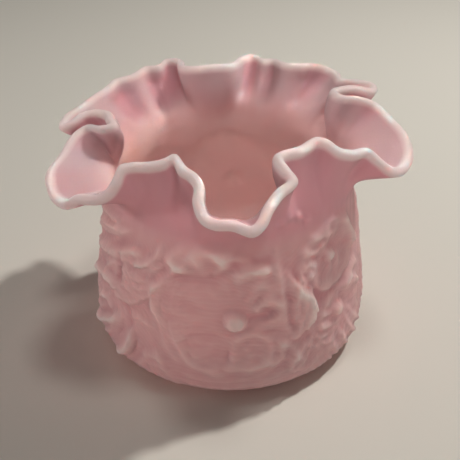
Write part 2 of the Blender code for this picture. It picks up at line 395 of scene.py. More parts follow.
# How far the Bezier curve is pulled up from the neck and back from the rim, as shares of its reach.
NECK_PULL = 0.38
RIM_PULL = 0.42
# The glass arrives at the rim this many degrees from level, on the lowest lobe and on the highest fold.
LOBE_ANGLE = 5
FOLD_ANGLE = 75
# Columns to each side that a normal is measured across. A wide span keeps the wall from crossing itself in
# the tight folds.
NORMAL_SPAN = 5


def collar_rows(rim, shares):
    """Rows of the collar's middle surface at these shares of the way from neck to rim."""
    feet = polar(np.arange(COLUMNS) * 360 / COLUMNS, NECK_RADIUS, NECK_HEIGHT)
    up = np.array((0.0, 0.0, 1.0))
    outward = rim * (1, 1, 0)
    outward /= np.linalg.norm(outward, axis=1, keepdims=True)
    reach = np.linalg.norm(rim - feet, axis=1, keepdims=True)
    rise = np.clip((rim[:, 2:] - LOBE_HEIGHT) / LOBE_DROP, 0, 1)
    angle = np.radians(LOBE_ANGLE + (FOLD_ANGLE - LOBE_ANGLE) * rise)
    first = feet + NECK_PULL * reach * up
    second = rim - RIM_PULL * reach * (np.cos(angle) * outward + np.sin(angle) * up)
    rows = []
    for t in shares:
        start = (1 - t) ** 3 * feet + 3 * (1 - t) ** 2 * t * first
        rows.append(start + 3 * (1 - t) * t**2 * second + t**3 * rim)
    return np.array(rows)


def surface_normals(rows):
    """Unit normals of a ring-by-ring surface, pointing out of the vase. The first row's are level."""
    across = np.roll(rows, -NORMAL_SPAN, axis=1) - np.roll(rows, NORMAL_SPAN, axis=1)
    normals = np.cross(across, np.gradient(rows, axis=0))
    normals[0, :, 2] = 0
    return normals / np.linalg.norm(normals, axis=2, keepdims=True)


collar = collar_rows(rim_line, np.linspace(0, 1, COLLAR_STEPS + 1))
collar_normals = surface_normals(collar)
print("collar reaches", round(np.abs(collar[-1, :, :2]).max(), 1), "mm from the axis")

# %% Folds and bulges of the collar
# The collar's radius less its average over the columns near by: above 0 on a bulge, below 0 in a fold. It
# places the painted shade in the fold hollows.
CALM_SPAN = 14
collar_radius = np.hypot(collar[:, :, 0], collar[:, :, 1])
calm_turns = range(-CALM_SPAN, CALM_SPAN + 1)
calm_radius = sum(np.roll(collar_radius, turn, axis=1) for turn in calm_turns) / len(calm_turns)
collar_bulge = collar_radius - calm_radius
print("bulges from", round(collar_bulge.min(), 1), "to", round(collar_bulge.max(), 1), "mm")

# %% Pleats
# Pleats pressed out between two folds: azimuth, half width in degrees, depth in millimetres.
PLEATS = (
    (215.0, 6.5, 3.8),
    (231.5, 6.0, 3.6),
    (163.0, 5.0, 1.6),
    (148.0, 5.0, 1.4),
    (192.0, 4.0, 1.2),
)
# Above 2, a pleat has a flatter top and steeper sides than a bell curve.
PLEAT_EXPONENT = 2.6


def pleat_at(azimuth, share):
    """How far the pleats press the collar out at these places, in millimetres."""
    pressed = 0.0
    for middle_azimuth, half_width, deep in PLEATS:
        away = (azimuth - middle_azimuth + 180) % 360 - 180
        pressed = pressed + deep * np.exp(-(np.abs(away / half_width) ** PLEAT_EXPONENT))
    return pressed * ease(share, 0.15, 0.6) * (1 - ease(share, 0.8, 1.0))


print("pleats:", len(PLEATS), "up to", max(deep for _, _, deep in PLEATS), "mm deep")

# %% [markdown]
# ## The mould's relief
#
# The mould was cut with open poppies and long leaves that cover the whole side. The relief is one height map
# over the outside, in millimetres of lift at each azimuth and height. It is built like a collage: leaves are
# laid down first, then petals, each with a soft-edged mask that hides what is under it, then ridges and
# grooves along listed lines, and the pods and buds last. Laying shapes over one another gives every
# petal its own clear lip, as cut in a mould, and the body stays one closed surface.

# %% Petals
def local(azimuth, height, centre, turn):
    """Millimetres ahead of and aside from a centre on the body, along a direction turned from straight up."""
    centre_azimuth, centre_height = centre
    radius = NECK_RADIUS + BELLY_SWELL * (1 - height / NECK_HEIGHT)
    across = np.radians((azimuth - centre_azimuth + 180) % 360 - 180) * radius
    up = height - centre_height
    way = math.radians(turn)
    ahead = across * math.sin(way) + up * math.cos(way)
    aside = across * math.cos(way) - up * math.sin(way)
    return ahead, aside


def lay(under, over, mask):
    """Lays a shape over the relief so far, where its mask is 1."""
    return under * (1 - mask) + over * mask


def lay_petal(lift, azimuth, height, centre, turn, length, half_width, low, lip, frills):
    """One broad petal: low at the pod, dished, with a frilled lip that stands up and rolls over."""
    ahead, aside = local(azimuth, height, centre, turn)
    far = np.hypot(ahead, aside)
    swing = np.arctan2(aside, ahead)
    spread = math.atan2(half_width, length * 0.45)
    # The outline: a fan from the pod, shorter at its sides, with a wavy lip.
    wave = np.cos(frills * swing + turn) + 0.5 * np.cos(1.7 * frills * swing + 2 * turn)
    reach = length * (1 - 0.16 * (swing / spread) ** 2) + 0.035 * length * wave
    share = far / np.maximum(reach, 1)
    in_reach = 1 - ease(far, reach - 1.6, reach + 1.6)
    in_spread = 1 - ease(np.abs(swing) * far, spread * far - 2.5, spread * far + 1.0)
    mask = in_reach * in_spread * (np.abs(swing) < spread + 0.2)
    # The surface: a rolled lip, a dished middle, pleats that fan out and rings that run across them.
    roll = np.exp(-(((far - reach + 2.6) / 2.0) ** 2)) * (0.75 + 0.25 * wave)
    dish = -0.55 * np.exp(-(((share - 0.55) / 0.22) ** 2))
    pleats = 0.20 * np.cos(2.3 * frills * swing + 0.8 * np.sin(far * 0.4)) * ease(share, 0.15, 0.6)
    rings = 0.16 * np.cos(far * 1.9 + 2.0 * np.cos(3 * swing + turn)) * ease(share, 0.35, 0.8)
    over = low + (lip - low) * ease(share, 0.1, 1.0) + dish + 0.35 * roll + pleats + rings
    return lay(lift, over, mask)


# %% Leaves, blades and knobs
def bow(ahead, length, lean, bend):
    """How far the middle line of a leaf bows to the side that it leans to."""
    return bend * length * np.sin(np.pi * np.clip(ahead / length, 0, 1)) * (1 if lean > 0 else -1)


def lay_leaf(lift, azimuth, height, stem, length, half_width, lean, low, veins):
    """One pointed leaf: a saw-toothed edge, a raised midrib and side veins that run forward."""
    ahead, aside = local(azimuth, height, stem, lean)
    aside = aside - bow(ahead, length, lean, 0.10)
    share = np.clip(ahead / length, 0.0001, 1)
    width = half_width * np.sin(np.pi * share**0.75) ** 0.75
    teeth = 1.1 * ((ahead / 5.0) % 1)
    mask = 1 - ease(np.abs(aside), width - 0.9 - teeth, width + 0.9 - teeth)
    mask = mask * ease(ahead, 0, 2.5) * (1 - ease(ahead, length - 1.0, length))
    midrib = np.exp(-((aside / 0.9) ** 2))
    furrow = np.exp(-(((np.abs(aside) - 2.0) / 1.0) ** 2))
    vein = np.cos(2 * np.pi * (ahead - 1.3 * np.abs(aside)) / veins)
    edge_roll = np.exp(-(((np.abs(aside) - width + 1.6 + teeth) / 1.1) ** 2))
    over = low + 1.2 + 0.55 * midrib - 0.45 * furrow + 0.22 * vein + 0.5 * edge_roll
    return lay(lift, over, mask)


def lay_blade(lift, azimuth, height, stem, length, half_width, lean, low, lines):
    """One long blade: like a leaf, but with fine lines that run along it and spread from the stem."""
    ahead, aside = local(azimuth, height, stem, lean)
    aside = aside - bow(ahead, length, lean, 0.16)
    share = np.clip(ahead / length, 0.0001, 1)
    width = half_width * np.sin(np.pi * share**0.6) ** 0.6 + 0.01
    mask = (1 - ease(np.abs(aside), width - 1.0, width + 0.8)) * ease(ahead, 0, 2.0)
    mask = mask * (1 - ease(ahead, length - 1.0, length))
    line = np.cos(np.pi * lines * aside / width)
    edge_roll = np.exp(-(((aside - width + 1.5) / 1.2) ** 2))
    over = low + 1.1 - 0.5 * (aside / width) ** 2 + 0.20 * line + 0.8 * edge_roll
    return lay(lift, over, mask)


def lay_knob(lift, azimuth, height, centre, radius, rise, ribs):
    """A seed pod or bud: a dome with ribs that meet at its top."""
    ahead, aside = local(azimuth, height, centre, 0)
    far = np.hypot(ahead, aside)
    dome = np.sqrt(np.clip(1 - (far / radius) ** 2, 0, 1))
    rib = 1 + 0.12 * np.cos(ribs * np.arctan2(aside, ahead)) * ease(far / radius, 0.1, 0.6)
    moat = -0.3 * np.exp(-(((far - radius - 1.0) / 1.3) ** 2))
    return np.maximum(lift, rise * dome * rib) + moat * (far > radius * 0.9)


# %% Where the flowers and leaves are
# Leaves: stem azimuth and height, length, half width, lean, base lift, distance between veins.
LEAVES = (
    ((-92, 70), 52, 8, 74, 0.3, 4.5),
    ((-88, 50), 70, 12, 70, 0.6, 4.5),
    ((-64, 53), 40, 11, 76, 1.0, 4.0),
    ((-90, 32), 50, 8, 66, 0.4, 4.5),
    ((25, 34), 38, 7, 6, 1.5, 4.0),
    ((24, 14), 22, 8, 30, 0.8, 3.6),
    ((76, 18), 40, 9, 20, 0.6, 4.2),
    ((134, 28), 46, 10, 15, 0.6, 4.2),
    ((146, 70), 34, 8, 70, 0.6, 4.0),
    ((-160, 30), 44, 10, -18, 0.6, 4.2),
    ((-104, 26), 48, 10, -12, 0.6, 4.2),
    ((118, 8), 38, 8, -50, 0.4, 4.2),
    ((-150, 8), 40, 8, 50, 0.4, 4.2),
)
# Blades: stem azimuth and height, length, half width, lean, base lift, number of lines.
BLADES = (
    ((-84, 3), 54, 9, 52, 0.5, 5),
    ((-66, 2), 42, 8, 44, 0.9, 5),
    ((-50, 3), 36, 8, 50, 0.4, 5),
    ((-24, 2), 26, 8, -14, 0.3, 4),
    ((68, 2), 42, 9, -38, 0.5, 5),
    ((44, 2), 30, 9, -20, 0.3, 5),
    ((86, 4), 40, 9, -28, 0.3, 5),
    ((150, 3), 34, 9, -30, 0.3, 5),
    ((-174, 3), 34, 9, 34, 0.3, 5),
    ((-120, 3), 34, 9, 30, 0.3, 5),
)
# Petals: centre azimuth and height, turn, length, half width, lift at the pod, lift at the lip, frills.
PETALS = (
    ((46, 70), 20, 20, 13, 0.4, 1.9, 6),
    ((46, 70), 95, 20, 11, 0.4, 2.2, 5),
    ((46, 70), -60, 19, 11, 0.4, 1.7, 6),
    ((46, 70), 160, 19, 10, 0.5, 2.0, 5),
    ((46, 70), -130, 17, 9, 0.5, 1.8, 5),
    ((49, 38), 75, 21, 10, 0.5, 2.2, 5),
    ((49, 38), 0, 15, 9, 0.5, 1.6, 5),
    ((49, 38), 140, 24, 11, 0.6, 1.9, 7),
    ((49, 38), -155, 24, 10, 0.7, 1.8, 6),
    ((49, 38), -80, 14, 8, 0.5, 1.6, 5),
    ((0, 50), -26, 37, 17, 0.5, 1.9, 8),
    ((2, 50), 24, 31, 16, 0.5, 2.0, 9),
    ((2, 50), -88, 37, 19, 0.8, 1.1, 4),
    ((2, 50), 74, 26, 15, 0.7, 2.3, 7),
    ((2, 50), -142, 34, 16, 0.8, 1.2, 7),
    ((2, 50), 145, 31, 15, 0.8, 2.0, 8),
)
# Whole flowers on the far sides: azimuth and height of the pod, and length of a petal. Each has six petals.
FAR_FLOWERS = ((100, 54, 27), (178, 50, 33), (-132, 54, 28))
FAR_PETAL_TURNS = (-30, 35, -95, 95, -150, 155)
# Knobs: centre azimuth and height, radius, rise, ribs.
KNOBS = (
    ((2, 49), 5.2, 3.9, 10),
    ((49, 38), 3.8, 3.2, 8),
    ((46, 71), 3.4, 3.0, 8),
    ((15, 59), 3.6, 3.0, 5),
    ((34, 66), 2.8, 3.0, 5),
    ((21, 97), 2.6, 1.9, 5),
    ((25, 99), 3.0, 2.2, 5),
    ((30, 97), 2.8, 2.2, 5),
    ((34, 94), 2.2, 1.8, 5),
)
print("leaves:", len(LEAVES) + len(BLADES), "petals:", len(PETALS), "far flowers:", len(FAR_FLOWERS))

# %% Where the ridges and grooves are
# Ridges: stations as azimuth and height, rise, and the widths of the slopes left and right of the way it
# runs. A sinking one is a groove.
RIDGES = (
    (((-27, 72), (-24, 79), (-19, 84), (-11, 86), (-3, 85), (2, 82)), 1.3, 2.6, 5.5),
    (((-26, 79), (-22, 76), (-17, 74)), 1.4, 1.8, 2.2),
    (((-14, 82), (-12, 77)), 0.8, 2.0, 1.6),
    (((-6, 84), (-3, 80), (-2, 77)), 0.9, 2.0, 1.6),
    (((-28, 71), (-18, 70), (-10, 70), (-4, 73), (1, 78), (8, 80)), -1.3, 2.0, 3.4),
    (((0, 73), (6, 75), (11, 77), (17, 76)), 1.2, 1.6, 3.0),
    (((8, 76), (12, 76), (16, 74)), 0.9, 1.6, 2.4),
    (((18, 87), (19, 76), (20, 66), (21, 56), (20, 46)), 0.7, 3.0, 1.4),
    (((2, 70), (9, 72), (17, 71)), 0.5, 1.2, 1.2),
    (((3, 66), (9, 69), (17, 68)), 0.55, 1.1, 1.1),
    (((3, 62), (8, 66), (18, 67)), 0.6, 1.1, 1.1),
    (((5, 59), (10, 63), (19, 64)), 0.6, 1.0, 1.1),
    (((10, 52), (11, 57), (15, 60), (18, 58), (20, 53)), 1.4, 2.0, 2.2),
    (((7, 52), (12, 51), (18, 54)), -1.3, 2.0, 1.8),
    (((12, 47), (17, 49), (20, 52)), 0.7, 1.6, 1.4),
    (((8, 46), (14, 45), (19, 46)), 0.5, 1.2, 1.2),
    (((-31, 70), (-29, 62), (-30, 54), (-29, 46), (-26, 42), (-25, 41)), 0.6, 2.6, 2.4),
    (((-27, 41), (-26, 35), (-23, 28), (-19, 23)), 0.6, 1.6, 2.0),
    (((-24, 39), (-18, 42), (-10, 42)), 0.5, 1.3, 1.3),
    (((-23, 35), (-16, 38), (-9, 38)), 0.5, 1.3, 1.3),
    (((-19, 32), (-16, 38), (-9, 41), (-3, 40)), -0.9, 1.6, 1.6),
    (((-17, 36), (-18, 30), (-16, 25), (-9, 22), (-2, 23)), 0.9, 1.6, 2.2),
    (((-14, 32), (-12, 28), (-6, 26)), 0.4, 1.2, 1.2),
    (((1, 33), (3, 40), (8, 43), (13, 40), (16, 34), (15, 28), (10, 24), (4, 24)), 1.1, 1.8, 2.2),
    (((5, 32), (8, 37), (12, 35)), 0.6, 1.3, 1.3),
    (((7, 30), (10, 32), (12, 30)), 0.5, 1.2, 1.2),
    (((0, 34), (-1, 29), (0, 25)), -0.8, 1.3, 1.3),
    (((16, 38), (17, 33), (16, 27)), -0.9, 1.4, 1.4),
    (((17, 33), (20, 35), (25, 31), (26, 25), (29, 21)), 1.0, 1.6, 2.0),
    (((19, 30), (21, 26), (25, 22)), 0.6, 1.3, 1.3),
    (((23, 72), (26, 66), (29, 60), (33, 56), (35, 50), (34, 43), (33, 35)), 1.6, 1.2, 3.0),
    (((22, 68), (23, 56), (24, 46), (26, 38)), -1.0, 1.4, 1.4),
    (((25, 62), (27, 50), (29, 38)), 0.6, 0.9, 0.9),
    (((28, 58), (30, 48), (31, 38)), 0.6, 0.9, 0.9),
    (((31, 54), (32, 47), (32.5, 40)), 0.5, 0.8, 0.8),
    (((33, 60), (38, 53), (45, 52), (52, 53), (58, 57)), -1.2, 1.8, 2.4),
    (((30, 80), (36, 77), (42, 78), (47, 82), (52, 80)), 0.9, 1.5, 2.0),
    (((34, 86), (40, 83), (46, 84)), 0.7, 1.3, 1.5),
    (((40, 73), (44, 74), (46, 68), (45, 60)), 0.7, 1.4, 1.6),
    (((50, 72), (51, 66), (50, 60)), 0.7, 1.4, 1.6),
    (((30, 70), (34, 72), (37, 68), (36, 61)), 0.7, 1.4, 1.6),
    (((55, 88), (60, 82), (63, 74), (64, 67)), 1.6, 2.4, 2.0),
    (((54, 46), (57, 53), (63, 56), (69, 52)), 1.5, 1.8, 4.0),
    (((56, 42), (61, 46), (68, 44)), 0.8, 2.0, 2.6),
    (((47, 40), (50, 40), (53, 34)), 1.1, 1.6, 1.8),
    (((36, 44), (42, 40), (46, 38)), 0.7, 1.2, 1.4),
    (((35, 38), (42, 33), (50, 31)), 0.7, 1.2, 1.4),
    (((34, 33), (39, 29), (48, 28)), 0.7, 1.2, 1.4),
    (((33, 29), (39, 24), (48, 24)), 0.6, 1.2, 1.4),
    (((30, 36), (35, 28), (40, 20)), -0.8, 1.3, 1.5),
    (((53, 31), (57, 21), (63, 12), (69, 6)), 0.9, 1.1, 1.4),
    (((56, 34), (61, 25), (68, 16), (74, 9)), 0.9, 1.1, 1.4),
    (((49, 26), (53, 16), (58, 8)), 0.8, 1.1, 1.4),
    (((44, 23), (47, 14), (51, 7)), 0.6, 1.1, 1.3),
    (((-22, 19), (-12, 15), (0, 15), (12, 19), (20, 26)), 0.6, 1.0, 1.6),
    (((-24, 13), (-12, 10), (2, 10), (15, 14), (25, 21)), 0.6, 1.0, 1.6),
    (((4, 20), (14, 22), (20, 28)), 0.6, 1.0, 1.4),
    (((8, 8), (20, 12), (30, 20)), 0.5, 1.0, 1.4),
    (((20, 8), (30, 12), (38, 20)), 0.5, 1.0, 1.4),
    (((-10, 48), (-20, 50), (-28, 52)), 0.35, 1.6, 2.0),
    (((-8, 56), (-17, 60), (-27, 62)), 0.35, 1.6, 2.0),
    (((-4, 60), (-10, 66), (-18, 69)), 0.35, 1.6, 2.0),
    (((-80, 79), (-64, 84), (-50, 87)), 1.5, 1.8, 3.0),
    (((-80, 71), (-66, 77), (-50, 83)), 1.4, 1.6, 4.0),
    (((-80, 59), (-63, 66), (-50, 71), (-43, 75), (-36, 75)), 1.5, 1.5, 3.6),
    (((-43, 68), (-37, 71), (-31, 77), (-29, 83)), 1.1, 1.3, 1.8),
    (((-52, 71), (-51, 60), (-52, 51)), -0.9, 1.3, 1.3),
    (((-27, 65), (-31, 60), (-32, 52), (-30, 46)), 1.2, 1.5, 1.6),
    (((-48, 66), (-42, 61), (-36, 62)), 0.5, 1.0, 1.0),
    (((-49, 61), (-43, 57), (-36, 58)), 0.5, 1.0, 1.0),
    (((-49, 56), (-43, 53), (-36, 54)), 0.5, 1.0, 1.0),
    (((-80, 42), (-70, 48), (-60, 51), (-50, 50)), 1.7, 1.6, 3.6),
    (((-56, 62), (-60, 56), (-64, 52)), 0.6, 1.0, 1.2),
    (((-68, 36), (-60, 36), (-55, 33)), 1.0, 1.5, 2.0),
    (((-80, 12), (-69, 16), (-60, 24), (-54, 29), (-51, 35)), 1.7, 1.4, 2.6),
    (((-80, 18), (-70, 22), (-63, 30)), 0.7, 1.0, 1.2),
    (((-80, 24), (-71, 28), (-66, 34)), 0.7, 1.0, 1.2),
    (((-66, 10), (-58, 17), (-52, 27)), 0.7, 1.0, 1.2),
    (((-41, 29), (-42, 22), (-47, 13), (-54, 5)), 1.5, 1.5, 2.4),
    (((-37, 27), (-39, 20), (-44, 11), (-49, 5)), 0.6, 1.0, 1.2),
    (((-33, 24), (-35, 17), (-40, 8)), 0.6, 1.0, 1.2),
    (((-44, 38), (-38, 40), (-31, 38)), 0.7, 1.3, 1.6),
    (((-48, 44), (-44, 38), (-43, 31)), -0.9, 1.4, 1.6),
    (((-37, 20), (-30, 22), (-24, 20)), 0.6, 1.2, 1.4),
    (((-36, 15), (-29, 17), (-22, 15)), 0.6, 1.2, 1.4),
)


print("ridges and grooves:", len(RIDGES))


# %% Ridges
# Every slope is this much wider than its row says.
SLOPE = 1.1
# How far a ridge reaches, in millimetres.
RIDGE_MARGIN = 7


def ridge_strength(azimuth):
    """How boldly the mould is cut: deepest in the leaves at the left, softest in the middle flower."""
    if azimuth < -30:
        return 1.9
    return 1.25 if azimuth < 22 else 1.45


def add_ridge(lift, azimuth, height, stations, rise, left_width, right_width):
    """A soft ridge, or a groove, along a smooth curve. It fades out at both ends."""
    middle = sum(station[0] for station in stations) / len(stations)
    scale = math.radians(NECK_RADIUS + BELLY_SWELL * 0.6)
    turned = (azimuth - middle + 180) % 360 - 180
    flat = [((a - middle) * scale, z, 0.0) for a, z in stations]
    curve = smooth_curve(flat, False)[::4, :2]
    low, high = curve.min(axis=0) - RIDGE_MARGIN, curve.max(axis=0) + RIDGE_MARGIN
    x, z = turned * scale, height
    near_it = np.flatnonzero((x > low[0]) & (x < high[0]) & (z > low[1]) & (z < high[1]))
    if not len(near_it):
        return lift
    gap = np.stack((x[near_it], z[near_it]), axis=1)[:, None] - curve[None]
    distance = np.hypot(gap[:, :, 0], gap[:, :, 1])
    nearest = distance.argmin(axis=1)
    every = np.arange(len(near_it))
    ways = np.gradient(curve, axis=0)
    way = ways[nearest] / np.linalg.norm(ways[nearest], axis=1, keepdims=True)
    offset = gap[every, nearest]
    side = way[:, 0] * offset[:, 1] - way[:, 1] * offset[:, 0]
    width = SLOPE * np.where(side > 0, left_width, right_width)
    share = nearest / (len(curve) - 1)
    fade = 0.25 + 0.75 * ease(share, 0, 0.2) * (1 - ease(share, 0.8, 1))
    slope = np.exp(-((distance[every, nearest] / width) ** 2))
    result = lift.copy()
    result[near_it] += ridge_strength(middle) * rise * fade * slope
    return result


# %% The whole collage
BASE_LIFT = 0.9
BASE_RIPPLE = 0.08


def relief(azimuth, height):
    """How far the outside of the vase stands out at these places."""
    lift = BASE_LIFT + BASE_RIPPLE * np.cos(np.radians(azimuth * 54) + 2 * np.sin(height / 9))
    for leaf in LEAVES:
        lift = lay_leaf(lift, azimuth, height, *leaf)
    for blade in BLADES:
        lift = lay_blade(lift, azimuth, height, *blade)
    for place, middle, reach in FAR_FLOWERS:
        for turn in FAR_PETAL_TURNS:
            length = reach * (1 + 0.1 * math.cos(turn + place))
            petal = (place, middle), turn, length, reach * 0.5, 0.5, 2.2, 6 + place % 3
            lift = lay_petal(lift, azimuth, height, *petal)
        lift = lay_knob(lift, azimuth, height, (place, middle), reach * 0.17, 4.0, 9)
    for petal in PETALS:
        lift = lay_petal(lift, azimuth, height, *petal)
    for ridge in RIDGES:
        lift = add_ridge(lift, azimuth, height, *ridge)
    for knob in KNOBS:
        lift = lay_knob(lift, azimuth, height, *knob)
    # It runs out just above the foot and on the collar.
    return lift * ease(height, 1.0, 7.0) * (1 - ease(height, NECK_HEIGHT + 4, NECK_HEIGHT + 16))


# %% Read and soften a height map
MAP_TOP = 110.0
MAP_ROWS = 150


def blurred(grid, passes):
    """The grid softened by repeated averaging with its neighbours. It wraps round the vase."""
    for _ in range(passes):
        grid = (np.roll(grid, 1, axis=1) + grid + np.roll(grid, -1, axis=1)) / 3
        padded = np.vstack((grid[:1], grid, grid[-1:]))
        grid = (padded[:-2] + padded[1:-1] + padded[2:]) / 3
    return grid


def read_grid(grid, azimuth, height):
    """The grid's value at these places, between its points."""
    column = np.asarray(azimuth) * COLUMNS / 360 % COLUMNS
    row = np.clip(np.asarray(height) / MAP_TOP * (MAP_ROWS - 1), 0, MAP_ROWS - 1.001)
    left, low = column.astype(int) % COLUMNS, row.astype(int)
    right, across, up = (left + 1) % COLUMNS, column % 1, row % 1
    lower = grid[low, left] * (1 - across) + grid[low, right] * across
    upper = grid[low + 1, left] * (1 - across) + grid[low + 1, right] * across
    return lower * (1 - up) + upper * up


# %% Work the relief out once, on a grid
grid_azimuth, grid_height = np.meshgrid(
    np.arange(COLUMNS) * 360 / COLUMNS, np.linspace(0, MAP_TOP, MAP_ROWS)
)
lift_grid = relief(grid_azimuth.ravel(), grid_height.ravel()).reshape(grid_azimuth.shape)
print("relief from", round(lift_grid.min(), 1), "to", round(lift_grid.max(), 1), "mm")

# %% Height maps made from the relief
# Crests: the lift less a soft and a very soft copy of it, so it is high on lips and low in furrows. It sets
# the painted highlight and painted shade of the relief.
crest_grid = blurred(lift_grid, 1) - 0.6 * blurred(lift_grid, 24) - 0.4 * blurred(lift_grid, 90)
# The cutter's fine lines are the lines of equal value here. They run level in the middle of the front, slant
# beyond 25 degrees to either side, and bend round the shapes because the softened lift is added.
aside = np.abs((grid_azimuth + 180) % 360 - 180)
line_grid = 0.9 * blurred(lift_grid, 7) + 0.3 * grid_height - 0.3 * np.maximum(aside - 25, 0)
# The inside: a soft copy without the highest knobs, less its own average, so that the wall keeps its
# thickness.
inner_grid = 1.8 * (blurred(np.minimum(lift_grid, 2.6), 14) - blurred(lift_grid, 70))
print("inside relief from", round(inner_grid.min(), 1), "to", round(inner_grid.max(), 1), "mm")

# %% [markdown]
# ## Blow the tube into the mould and crimp it
#
# Every point of the tube knows its azimuth, its height and how far it is from the middle of the wall. Below
# the neck those give its place on the outside or inside profile. Above the neck they give its place on the
# crimped collar. The inside of blown glass follows the mould only softly, so it takes a softened copy of the
# relief, which runs out on the inside of the collar. A lattice could bend the tube too, but it can't place
# the rim as exactly as moving every point does.

# %% Sort the tube's points
points = np.empty(len(vase.data.vertices) * 3)
vase.data.vertices.foreach_get("co", points)
points = points.reshape(-1, 3) / MM
radius = np.hypot(points[:, 0], points[:, 1])
height = points[:, 2].copy()
azimuth = np.degrees(np.arctan2(points[:, 0], -points[:, 1]))
column = np.round(azimuth * COLUMNS / 360).astype(int) % COLUMNS
depth = radius - NECK_RADIUS

on_collar = height > NECK_HEIGHT + SAME
outside = (depth > WALL / 2 - SAME) & ~on_collar
inside = (np.abs(depth + WALL / 2) < SAME) & ~on_collar & (height > FLOOR - SAME)
on_floor = ~on_collar & ~outside & ~inside & (height > FLOOR - SAME)
print("points on the collar:", on_collar.sum(), "of", len(points))

# %% Shape the body
shaped = points.copy()
sides = at_share(outside_curve(), height[outside] / NECK_HEIGHT)
sides_up = sides[:, 1]
lift = read_grid(lift_grid, azimuth[outside], sides[:, 1])
shaped[outside] = polar(azimuth[outside], sides[:, 0] + lift, sides[:, 1])

sides = at_share(inside_curve(), (height[inside] - FLOOR) / (NECK_HEIGHT - FLOOR))
soft = read_grid(inner_grid, azimuth[inside], sides[:, 1]) * ease(sides[:, 1], 12, 30)
shaped[inside] = polar(azimuth[inside], sides[:, 0] + soft, sides[:, 1])

floor_edge = inside_curve()[0, 0]
shaped[on_floor] = polar(azimuth[on_floor], radius[on_floor] / TUBE_INSIDE * floor_edge, FLOOR)
print("the flat floor inside is", round(2 * floor_edge), "mm across")

# %% Shape the collar
share = np.clip((height[on_collar] - NECK_HEIGHT) / COLLAR, 0, 1)
place = share * COLLAR_STEPS
row = np.minimum(place.astype(int), COLLAR_STEPS - 1)
between = (place - row)[:, None]
columns = column[on_collar]
middle = collar[row, columns] * (1 - between) + collar[row + 1, columns] * between
normal = collar_normals[row, columns] * (1 - between) + collar_normals[row + 1, columns] * between
ahead = collar[-1, columns] - collar[-2, columns]
ahead /= np.linalg.norm(ahead, axis=1, keepdims=True)
past = np.clip(height[on_collar] - NECK_HEIGHT - COLLAR, 0, None)[:, None]
thicken = (1 + (RIM_WALL / WALL - 1) * share**2)[:, None]
shaped[on_collar] = middle + thicken * (depth[on_collar, None] * normal + past * ahead)
on_back = depth[on_collar] > WALL / 2 - SAME
print("rim wall:", RIM_WALL, "mm")

# %% Carry the relief and the pleats onto the collar
collar_place = azimuth[on_collar], middle[:, 2]
outer_fade = 1 - ease(share, 0.15, 0.5)
inner_fade = 1 - ease(share, 0.2, 0.6)
collar_lift = read_grid(lift_grid, *collar_place) * outer_fade * on_back
inner_lift = read_grid(inner_grid, *collar_place) * inner_fade * ~on_back
pleats = pleat_at(azimuth[on_collar], share)
shaped[on_collar] += (collar_lift + inner_lift + pleats)[:, None] * normal
vase.data.vertices.foreach_set("co", (shaped * MM).ravel())
print("vase:", round(shaped[:, 2].max(), 1), "mm high")

# %% [markdown]
# ## What the finish needs to know
#
# The finish isn't the same all over, and most of what changes is painted light. The high relief is paler as a
# painted highlight, the furrows and the pinched hollows are deep pink as painted shade, the shoulder under
# the collar is deeper pink as painted shade, the lip is greyer as a painted sheen, and the inside and the
# rim's edge are paler as a painted glow and a painted highlight. The material can't work this out from the
# mesh alone, so each point keeps a few values as attributes, which the shader reads by name. Vertex painting
# would do the same by hand.

# %% How high each point is in the relief, for the painted highlight on crests and painted shade in furrows
CREST_SHADING_GAIN = 0.34
raised = np.full(len(shaped), 0.5)
raised[outside] += CREST_SHADING_GAIN * read_grid(crest_grid, azimuth[outside], sides_up)
raised[on_collar] += CREST_SHADING_GAIN * on_back * outer_fade * read_grid(crest_grid, *collar_place)
lines, cut, inside_glow, lip, shoulder_shade, edge, fold_shade = np.zeros((7, len(shaped)))
print("raised from", round(raised.min(), 2), "to", round(raised.max(), 2))

# %% Where the cutter's fine lines are
lines[outside] = read_grid(line_grid, azimuth[outside], sides_up)
cut[outside] = 1 - ease(sides_up, NECK_HEIGHT - 14, NECK_HEIGHT - 2)
print("lines on", np.count_nonzero(cut), "points")

# %% Painted glow inside, painted sheen on the lip, painted shade on the shoulder, painted highlight on the rim's edge
# Paler inside: a painted glow of light that passes through the walls.
inside_glow[inside | on_floor] = 1.0
inside_glow[on_collar] = (depth[on_collar] < -0.5) * (1 - ease(share, 0.0, 0.6))
# Greyer on the collar's inner face: a painted satin sheen.
lip[on_collar] = (depth[on_collar] < 0.5) * ease(share, 0.2, 0.8)
# Deeper pink on the shoulder under the collar: painted shade.
shoulder_shade[outside] = ease(sides_up, NECK_HEIGHT - 8, NECK_HEIGHT + 4)
shoulder_shade[on_collar] = on_back * ease(middle[:, 2], NECK_HEIGHT - 8, NECK_HEIGHT + 4)
# Paler on the rim's edge: a painted highlight.
edge[on_collar] = ease(share + past[:, 0] / COLLAR, 0.93, 1.0)
print("lip on", np.count_nonzero(lip), "points, edge on", np.count_nonzero(edge))

# %% Painted shade in the hollows of the folds and pleats
bulge = collar_bulge[row, columns] * (1 - between[:, 0]) + collar_bulge[row + 1, columns] * between[:, 0]
# A bulge seen from outside is a hollow seen from inside.
facing = np.where(depth[on_collar] < 0, 1.0, -1.0)
# Deeper pink in the hollows of folds and pleats: painted shade.
fold_shade[on_collar] = 0.8 * ease(facing * bulge, 0.3, 4.5) + 0.9 * (facing > 0) * ease(pleats, 0.2, 3.8)
fold_shade[on_collar] = np.minimum(fold_shade[on_collar], 1) * (1 - ease(past[:, 0], 0.0, 0.5))
print("hollows on", np.count_nonzero(fold_shade > 0.5), "points")

